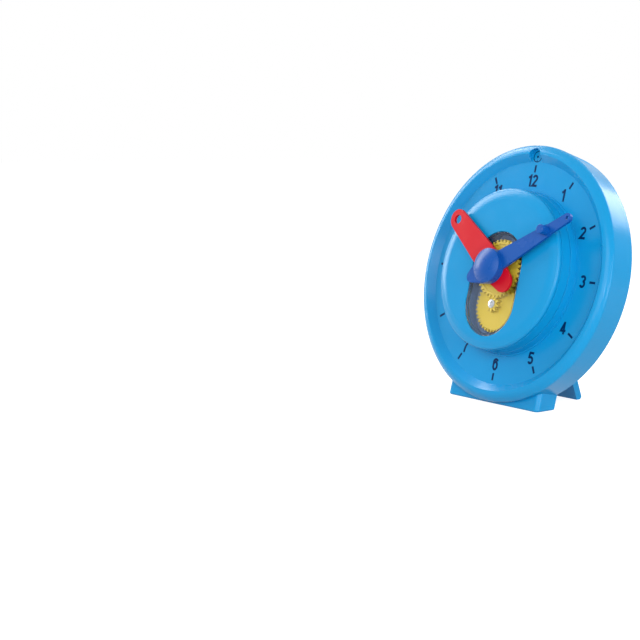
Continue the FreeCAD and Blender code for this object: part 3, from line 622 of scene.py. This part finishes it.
def dress(node: str, finish: bpy.types.Material, edge: float) -> bpy.types.Object:
    """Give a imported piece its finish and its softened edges.

    Args:
        node: the piece's name in the frame.
        finish: its material.
        edge: width of the soft edge, or 0 for edges left as they are.

    Returns:
        The piece's object.
    """
    piece = frame["nodes"][node]
    piece.data.materials.clear()
    piece.data.materials.append(finish)
    if edge:
        joined = piece.modifiers.new("joined_faces", "NODES")
        joined.node_group = soft_edge_nodes()
        rounded = piece.modifiers.new("soft_edges", "BEVEL")
        rounded.width = edge
        rounded.segments = 2
        rounded.limit_method = "ANGLE"
        rounded.angle_limit = math.radians(SHARP_ANGLE)
        shading = piece.modifiers.new("even_shading", "WEIGHTED_NORMAL")
        shading.keep_sharp = True
    log.info("dressed %s in %s", node, finish.name)
    return piece


@dataclass(frozen=True)
class DialAxes:
    """The dial's axes in the row frame."""

    centre: Vector
    right: Vector
    up: Vector
    out: Vector

    @classmethod
    def of_joint(cls, joint: dict) -> "DialAxes":
        """Read the axes from the joint that the minute hand turns on.

        Args:
            joint: the joint as packed. Its axis points into the dial.

        Returns:
            The dial's axes.
        """
        out = -Vector(joint["axis"]).normalized()
        right = Vector((1.0, 0.0, 0.0))
        return cls(Vector(joint["pos_m"]), right, out.cross(right), out)

    def matrix(self) -> Matrix:
        """Matrix that takes dial places to the row frame."""
        turn = Matrix((self.right, self.up, self.out)).transposed().to_4x4()
        return Matrix.Translation(self.centre) @ turn


def arc(centre: Point, radii: Point, start: float, end: float, steps: int = 18) -> list[Point]:
    """Points along an elliptic arc.

    Args:
        centre: its centre.
        radii: its half width and half height.
        start: first angle, in degrees anticlockwise from the right.
        end: last angle.
        steps: number of stretches.

    Returns:
        The points.
    """
    angles = [math.radians(start + (end - start) * step / steps) for step in range(steps + 1)]
    return [(centre[0] + radii[0] * math.cos(a), centre[1] + radii[1] * math.sin(a)) for a in angles]


@dataclass(frozen=True)
class Stroke:
    """One pen stroke of a figure, drawn along its middle."""

    path: tuple[Point, ...]
    closed: bool = False

    def edges(self, width: float) -> tuple[list[Point], list[Point]]:
        """Both edges of the stroke, with mitred corners.

        Args:
            width: the stroke's width.

        Returns:
            Points of the left edge and of the right edge.
        """
        sharpest = 0.35
        count = len(self.path)
        left, right = [], []
        for index, (x, y) in enumerate(self.path):
            before = self.path[index - 1] if index or self.closed else None
            after = self.path[(index + 1) % count] if index < count - 1 or self.closed else None
            ways = []
            for start, end in ((before, (x, y)), ((x, y), after)):
                if start and end:
                    way = Vector((end[0] - start[0], end[1] - start[1]))
                    ways.append(way.normalized())
            along = sum(ways, Vector((0.0, 0.0))).normalized()
            reach = width / 2 / max(along.dot(ways[0]), sharpest)
            left.append((x - along.y * reach, y + along.x * reach))
            right.append((x + along.y * reach, y - along.x * reach))
        return left, right

    def mesh(self, name: str, width: float, low: float, high: float) -> bpy.types.Mesh:
        """Closed flat strip along the stroke.

        Args:
            name: the mesh's name.
            width: the stroke's width.
            low: height of its back.
            high: height of its face.

        Returns:
            The mesh.
        """
        left, right = self.edges(width)
        draft = bmesh.new()
        rails = [
            [draft.verts.new((x, y, height)) for x, y in side]
            for side, height in ((left, low), (right, low), (right, high), (left, high))
        ]
        count = len(self.path)
        for index in range(count if self.closed else count - 1):
            following = (index + 1) % count
            for rail, beside in zip(rails, rails[1:] + rails[:1]):
                draft.faces.new((rail[index], rail[following], beside[following], beside[index]))
        if not self.closed:
            draft.faces.new([rail[0] for rail in rails])
            draft.faces.new([rail[-1] for rail in reversed(rails)])
        bmesh.ops.recalc_face_normals(draft, faces=draft.faces)
        made = bpy.data.meshes.new(name)
        draft.to_mesh(made)
        draft.free()
        return made


@dataclass(frozen=True)
class FigureStyle:
    """Condensed bold figures, with sizes to the middle of the stroke."""

    height: float = 14.4 * MM
    width: float = 8.7 * MM
    stroke: float = 2.75 * MM
    spacing: float = 1.1 * MM
    one_width: float = 5.6 * MM

    def strokes(self, digit: str) -> list[Stroke]:
        """The strokes of one digit about its middle.

        Args:
            digit: a digit from 0 to 9.

        Returns:
            Its strokes.
        """
        top = self.height / 2 - self.stroke / 2
        side = self.width / 2 - self.stroke / 2
        full = self.height / 2
        half = self.width / 2
        waist = 0.04 * self.height
        upper = (top - waist) / 2
        lower = (top + waist) / 2
        high = top - side
        if digit == "0":
            ring = arc((0, high), (side, side), 0, 180) + arc((0, -high), (side, side), 180, 360)
            return [Stroke(tuple(ring), closed=True)]
        if digit == "1":
            stem = self.one_width / 2 - self.stroke / 2
            radii = (stem + self.one_width / 2, 0.26 * self.height)
            flag = arc((-self.one_width / 2, full), radii, 275, 345, 6)
            return [Stroke(((stem, -full), (stem, full))), Stroke(tuple(flag))]
        if digit == "2":
            bowl = arc((0, high), (side, side), 172, -28)
            return [Stroke((*bowl, (-side, -top), (half, -top)))]
        if digit == "3":
            bowl = arc((0, waist + upper), (side, upper), 158, -90)
            belly = arc((0, waist - lower), (side, lower), 90, -158)
            return [Stroke(tuple(bowl)), Stroke(tuple(belly))]
        if digit == "4":
            stem = 0.16 * self.width
            bar = -0.22 * self.height
            slant = ((half, bar), (-side, bar), (stem, full - self.stroke / 3))
            return [Stroke(slant), Stroke(((stem, full), (stem, -full)))]
        if digit == "5":
            low = 0.17 * self.height
            bowl = arc((-0.04 * self.width, -low), (side, top - low), 128, -152)
            flag = ((half - self.stroke / 4, top), (-0.8 * side, top), (-side, 0.06 * self.height))
            return [Stroke((*flag, *bowl[1:]))]
        if digit == "7":
            leg = arc((half, -full), (0.72 * self.width, 0.86 * self.height), 100, 180, 8)
            return [Stroke(((-half, top), (side, top), *leg))]
        if digit == "8":
            small = arc((0, waist + upper), (0.9 * side, upper), 0, 340, 17)
            large = arc((0, waist - lower), (side, lower), 0, 340, 17)
            return [Stroke(tuple(small), closed=True), Stroke(tuple(large), closed=True)]
        bowl_half = 0.3 * self.height
        ring = arc((0, bowl_half - top), (side, bowl_half), 0, 340, 17)
        hook = ((-side, bowl_half - top), *arc((0, high), (side, side), 180, 20))
        turn = 1 if digit == "6" else -1
        return [
            Stroke(tuple((turn * x, turn * y) for x, y in ring), closed=True),
            Stroke(tuple((turn * x, turn * y) for x, y in hook)),
        ]

    def advance(self, digit: str) -> float:
        """Width of one digit."""
        return self.one_width if digit == "1" else self.width

    def number(self, value: int) -> list[Stroke]:
        """The strokes of a whole number about its middle.

        Args:
            value: the number.

        Returns:
            Its strokes.
        """
        digits = str(value)
        total = sum(self.advance(digit) for digit in digits) + self.spacing * (len(digits) - 1)
        left = -total / 2
        placed = []
        for digit in digits:
            middle = left + self.advance(digit) / 2
            for stroke in self.strokes(digit):
                placed.append(Stroke(tuple((x + middle, y) for x, y in stroke.path), stroke.closed))
            left += self.advance(digit) + self.spacing
        return placed


@dataclass
class DialPrint:
    """Everything printed on the dial: figures, hour ticks and the clock sign at twelve."""

    axes: DialAxes
    finish: bpy.types.Material
    style: FigureStyle = FigureStyle()
    figure_circle: float = 107.5 * MM
    tick_circle: float = 122.0 * MM
    tick_length: float = 8.6 * MM
    tick_width: float = 2.7 * MM
    figure_nudges: tuple[tuple[int, Point], ...] = (
        (1, (-2.2 * MM, 1.0 * MM)), (11, (-1.6 * MM, 1.0 * MM)), (12, (-1.0 * MM, 1.2 * MM)),
    )
    tick_nudges: tuple[tuple[int, Point], ...] = ((12, (-0.7 * MM, 0.6 * MM)),)
    sign_place: Point = (-0.7 * MM, 136.8 * MM)
    sign_radius: float = 6.2 * MM
    sign_line: float = 1.1 * MM
    sign_middle_share: float = 0.14
    sign_foot_share: float = 0.62
    back: float = -0.02 * MM
    face: float = 0.06 * MM
    hours: int = 12

    def printed(
        self, name: str, strokes: list[Stroke], width: float, place: Point, turn: float = 0.0,
    ) -> None:
        """Print strokes on the dial as one thin piece.

        Args:
            name: the piece's name.
            strokes: its strokes.
            width: their width.
            place: where its middle goes on the dial.
            turn: how far it is turned clockwise, in degrees.
        """
        parts = []
        for index, stroke in enumerate(strokes):
            shape = stroke.mesh(f"{name}_{index}", width, self.back, self.face)
            part = bpy.data.objects.new(name, shape)
            bpy.context.scene.collection.objects.link(part)
            parts.append(part)
        piece = parts[0]
        for other in parts[1:]:
            union = piece.modifiers.new("union", "BOOLEAN")
            union.operation = "UNION"
            union.solver = "EXACT"
            union.object = other
        depsgraph = bpy.context.evaluated_depsgraph_get()
        whole = bpy.data.meshes.new_from_object(piece.evaluated_get(depsgraph))
        piece.modifiers.clear()
        piece.data = whole
        for other in parts[1:]:
            bpy.data.objects.remove(other)
        spot = Matrix.Translation((*place, 0.0)) @ Matrix.Rotation(math.radians(-turn), 4, "Z")
        whole.transform(self.axes.matrix() @ spot)
        piece.name = name
        whole.materials.clear()
        whole.materials.append(self.finish)
        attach(piece, Body.CLOCK.value)
        log.info("printed %s", name)

    def at_hour(self, hour: int, radius: float, nudges: tuple[tuple[int, Point], ...]) -> Point:
        """Place on the dial at an hour.

        Args:
            hour: the hour.
            radius: distance from the dial's centre.
            nudges: hours whose print sits beside its place, each with how far.

        Returns:
            The place, right and up from the centre.
        """
        angle = 2 * math.pi * hour / self.hours
        right, up = dict(nudges).get(hour, (0.0, 0.0))
        return radius * math.sin(angle) + right, radius * math.cos(angle) + up

    def build(self) -> None:
        """Print every figure, every tick and the clock sign."""
        half = self.tick_length / 2
        tick = Stroke(((0.0, -half), (0.0, half)))
        for hour in range(1, self.hours + 1):
            place = self.at_hour(hour, self.figure_circle, self.figure_nudges)
            self.printed(f"figure_{hour}", self.style.number(hour), self.style.stroke, place)
            place = self.at_hour(hour, self.tick_circle, self.tick_nudges)
            self.printed(f"hour_tick_{hour}", [tick], self.tick_width, place, 360 * hour / self.hours)
        radius = self.sign_radius
        ring = Stroke(tuple(arc((0.0, 0.0), (radius, radius), 0, 350, 35)), closed=True)
        small = self.sign_middle_share * radius
        middle = Stroke(tuple(arc((0.0, 0.0), (small, small), 0, 315, 7)), closed=True)
        foot = Stroke(((0.0, -self.sign_foot_share * radius), (0.0, -radius)))
        self.printed("clock_sign", [ring, middle, foot], self.sign_line, self.sign_place)


@dataclass
class Case:
    """Front case, back cover, rear stand and the screws that hold them."""

    edge: float = 0.45 * MM
    fine_edge: float = 0.12 * MM

    def dress(self) -> None:
        """Give every piece of the case its finish."""
        front = CASE_FINISH.material()
        cover = COVER_FINISH.material()
        steel = STEEL_FINISH.material()
        dress("front_case", front, 0.0)
        dress("back_case", cover, 0.0)
        dress("rear_stand", front, self.edge)
        for screws in ("case_screws", "stand_screws", "tray_screws"):
            dress(screws, steel, self.fine_edge)


@dataclass
class GearTrain:
    """Window, gear tray, gears and their axle."""

    edge: float = 0.2 * MM
    lens_edge: float = 0.3 * MM

    def dress(self) -> None:
        """Give every piece of the gear train its finish."""
        gear = GEAR_FINISH.material()
        steel = bpy.data.materials[STEEL_FINISH.name]
        dress("window_lens", LENS_FINISH.material(), self.lens_edge)
        dress("gear_tray", TRAY_FINISH.material(), self.edge)
        for wheel in ("hour_gear", "idler_gear", "idler_pinion", "minute_pinion"):
            dress(wheel, gear, self.edge)
        for metal in ("idler_axle", "axle_push_nut", "friction_washer", "shaft_clip", "minute_shaft"):
            dress(metal, steel, 0.0)


@dataclass
class Hands:
    """Hour hand, minute hand, hub cap, knob and the hand's screw."""

    edge: float = 0.6 * MM
    cap_edge: float = 0.4 * MM

    def dress(self) -> None:
        """Give both hands their finish."""
        blue = BLUE_FINISH.material()
        dress("hour_hand", RED_FINISH.material(), self.edge)
        dress("minute_hand", blue, self.edge)
        dress("hub_cap", blue, self.cap_edge)
        dress("finger_knob", blue, self.cap_edge)
        dress("hand_screw", bpy.data.materials[STEEL_FINISH.name], 0.0)


@dataclass(frozen=True)
class Softbox:
    """Soft lamp that faces the dial.

    Its direction and distance are from the dial's centre, its size is width and height, and its
    power is in watts.
    """

    name: str
    direction: tuple[float, float, float]
    distance: float
    size: Point
    power: float


SOFTBOXES = (
    Softbox("left_softbox", (-0.862, -0.28, 0.423), 1.7, (0.72, 1.45), 19.0),
    Softbox("high_softbox", (-0.77, 0.108, 0.63), 1.7, (0.6, 0.5), 6.0),
    Softbox("front_softbox", (0.3, -0.9, 0.34), 2.1, (1.5, 1.5), 19.5),
    Softbox("right_softbox", (0.92, -0.26, 0.18), 2.0, (1.2, 1.2), 24.0),
    Softbox("back_softbox", (0.12, 0.78, 0.6), 1.9, (1.1, 1.1), 26.0),
    Softbox("rim_lamp", (0.62, -0.75, 0.22), 1.8, (0.22, 0.22), 2.5),
)


@dataclass
class Studio:
    """Floor, soft lamps, pale surroundings and the camera."""

    axes: DialAxes
    floor_radius: float = 6.0
    azimuth: float = 52.54
    elevation: float = 8.08
    focal_length: float = 94.71
    camera_offset: tuple[float, float, float] = (1.3929, -1.3490, 0.2187)
    ambient: float = 0.37
    floor_lift: float = 0.84
    floor_tones: tuple[float, float] = (0.44, 0.48)
    floor_patches: float = 3.0

    def seen_mask(self, sheet: NodeSheet) -> Socket:
        """1 for rays that the camera sees directly, in gloss or through clear pieces.

        Args:
            sheet: the node sheet to build it in.

        Returns:
            The mask's socket.
        """
        path = sheet.node("ShaderNodeLightPath")
        glossy, through = path.outputs["Is Glossy Ray"], path.outputs["Is Transmission Ray"]
        mirrored = sheet.maths("MAXIMUM", glossy, through)
        return sheet.maths("MAXIMUM", path.outputs["Is Camera Ray"], mirrored)

    def surroundings(self) -> None:
        """White where it is seen, and a plain level of light everywhere else."""
        world = bpy.data.worlds.new("pale_room")
        bpy.context.scene.world = world
        world.use_nodes = True
        sheet = NodeSheet(world.node_tree)
        background = world.node_tree.nodes["Background"]
        background.inputs["Color"].default_value = (1.0, 1.0, 1.0, 1.0)
        strength = sheet.stretch(self.seen_mask(sheet), 0.0, 1.0, self.ambient, 1.0)
        sheet.feed(background.inputs["Strength"], strength)

    def floor(self) -> None:
        """Pale floor that keeps the clock's shadow."""
        draft = bmesh.new()
        bmesh.ops.create_circle(draft, cap_ends=True, radius=self.floor_radius, segments=64)
        shape = bpy.data.meshes.new("studio_floor")
        draft.to_mesh(shape)
        draft.free()
        piece = bpy.data.objects.new("studio_floor", shape)
        bpy.context.scene.collection.objects.link(piece)
        made = bpy.data.materials.new("studio_floor_paper")
        made.use_nodes = True
        made.node_tree.nodes.clear()
        sheet = NodeSheet(made.node_tree)
        paper = sheet.node("ShaderNodeBsdfDiffuse")
        darker, paler = ((tone, tone, tone, 1.0) for tone in self.floor_tones)
        tone = sheet.blend(sheet.noise(self.floor_patches), darker, paler)
        sheet.feed(paper.inputs["Color"], tone)
        lift = sheet.node("ShaderNodeEmission")
        strength = sheet.maths("MULTIPLY", self.seen_mask(sheet), self.floor_lift)
        sheet.feed(lift.inputs["Strength"], strength)
        both = sheet.node("ShaderNodeAddShader")
        sheet.feed(both.inputs[0], paper.outputs[0])
        sheet.feed(both.inputs[1], lift.outputs[0])
        output = sheet.node("ShaderNodeOutputMaterial")
        sheet.feed(output.inputs["Surface"], both.outputs[0])
        shape.materials.append(made)

    def lamp(self, box: Softbox) -> None:
        """Place a soft lamp that faces the dial.

        Args:
            box: the lamp.
        """
        light = bpy.data.lights.new(box.name, "AREA")
        light.shape = "RECTANGLE"
        light.size, light.size_y = box.size
        light.energy = box.power
        piece = bpy.data.objects.new(box.name, light)
        towards = Vector(box.direction).normalized()
        piece.location = self.axes.centre + towards * box.distance
        piece.rotation_euler = towards.to_track_quat("Z", "Y").to_euler()
        bpy.context.scene.collection.objects.link(piece)

    def lamps(self) -> None:
        """Lamps all round the clock, placed for the pale bands on its plateau and its rim.

        The space between the two left lamps is left dark, to put less white on the rim's outer slope.
        """
        for box in SOFTBOXES:
            self.lamp(box)

    def camera(self) -> None:
        """Camera at the photograph's angle."""
        turn, rise = math.radians(self.azimuth), math.radians(self.elevation)
        level = math.cos(rise)
        back = Vector((math.sin(turn) * level, -math.cos(turn) * level, math.sin(rise)))
        right = Vector((math.cos(turn), math.sin(turn), 0.0))
        view = bpy.data.cameras.new("camera")
        view.lens = self.focal_length
        view.clip_end = 4 * self.floor_radius
        piece = bpy.data.objects.new("camera", view)
        aim = Matrix((right, back.cross(right), back)).transposed().to_4x4()
        place = self.axes.centre + Vector(self.camera_offset)
        piece.matrix_world = Matrix.Translation(place) @ aim
        bpy.context.scene.collection.objects.link(piece)
        bpy.context.scene.camera = piece

    def build(self) -> None:
        """Set up the whole studio."""
        bpy.context.scene.view_settings.view_transform = "Standard"
        self.surroundings()
        self.floor()
        self.lamps()
        self.camera()


def main() -> None:
    """Dress the clock, print its dial and set up the studio."""
    logging.basicConfig(level=logging.INFO, format="%(message)s")
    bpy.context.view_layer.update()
    joint = next(one for one in frame["joints"] if one["name"] == "minute_turn")
    axes = DialAxes.of_joint(joint)
    Studio(axes).build()
    Case().dress()
    GearTrain().dress()
    Hands().dress()
    DialPrint(axes, INK_FINISH.material()).build()


if __name__ == "__main__":
    main()
